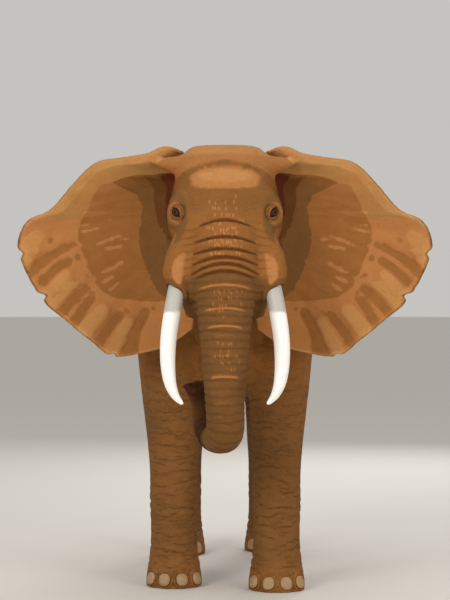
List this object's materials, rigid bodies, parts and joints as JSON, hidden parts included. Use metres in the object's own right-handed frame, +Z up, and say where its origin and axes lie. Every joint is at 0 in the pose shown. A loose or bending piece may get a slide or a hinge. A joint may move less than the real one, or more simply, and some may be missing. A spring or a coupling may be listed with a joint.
{
  "type": "african elephant, life-size model",
  "caption": "Still, life-size model of a standing bull elephant with spread ears, two long tusks and a trunk that hangs with its tip curled up behind.",
  "frame": {"origin": "on the floor, under the middle of the animal's box", "axes": "+Z up, the face looks along -Y, +X is the animal's left side"},
  "size_m": [3.144, 4.7757, 3.3915],
  "materials": {
    "hide": "thick wrinkled elephant skin, dry and matt, coated with red-brown dust",
    "ivory": "polished ivory-white tusk, faintly streaked along its length and greyer at the root",
    "eye": "wet, glossy dark brown eye",
    "nail": "dull horn, scuffed and dusty",
    "tail_hair": "coarse, stiff, nearly black tail hair"
  },
  "bodies": {
    "root": {"torso": "hide", "neck": "hide", "head": "hide", "jaw": "hide", "trunk_root": "hide", "trunk_upper": "hide", "trunk_middle": "hide", "trunk_bend": "hide", "trunk_tip": "hide", "tail": "hide", "tail_tuft": "tail_hair", "ear_left": "hide", "tusk_left": "ivory", "eye_left": "eye", "foreleg_upper_left": "hide", "foreleg_lower_left": "hide", "foreleg_foot_left": "hide", "hindleg_upper_left": "hide", "hindleg_lower_left": "hide", "hindleg_foot_left": "hide", "fore_nail_left_1": "nail", "fore_nail_left_2": "nail", "fore_nail_left_3": "nail", "fore_nail_left_4": "nail", "hind_nail_left_1": "nail", "hind_nail_left_2": "nail", "hind_nail_left_3": "nail", "ear_right": "hide", "tusk_right": "ivory", "eye_right": "eye", "foreleg_upper_right": "hide", "foreleg_lower_right": "hide", "foreleg_foot_right": "hide", "hindleg_upper_right": "hide", "hindleg_lower_right": "hide", "hindleg_foot_right": "hide", "fore_nail_right_1": "nail", "fore_nail_right_2": "nail", "fore_nail_right_3": "nail", "fore_nail_right_4": "nail", "hind_nail_right_1": "nail", "hind_nail_right_2": "nail", "hind_nail_right_3": "nail"}
  },
  "joints": []
}
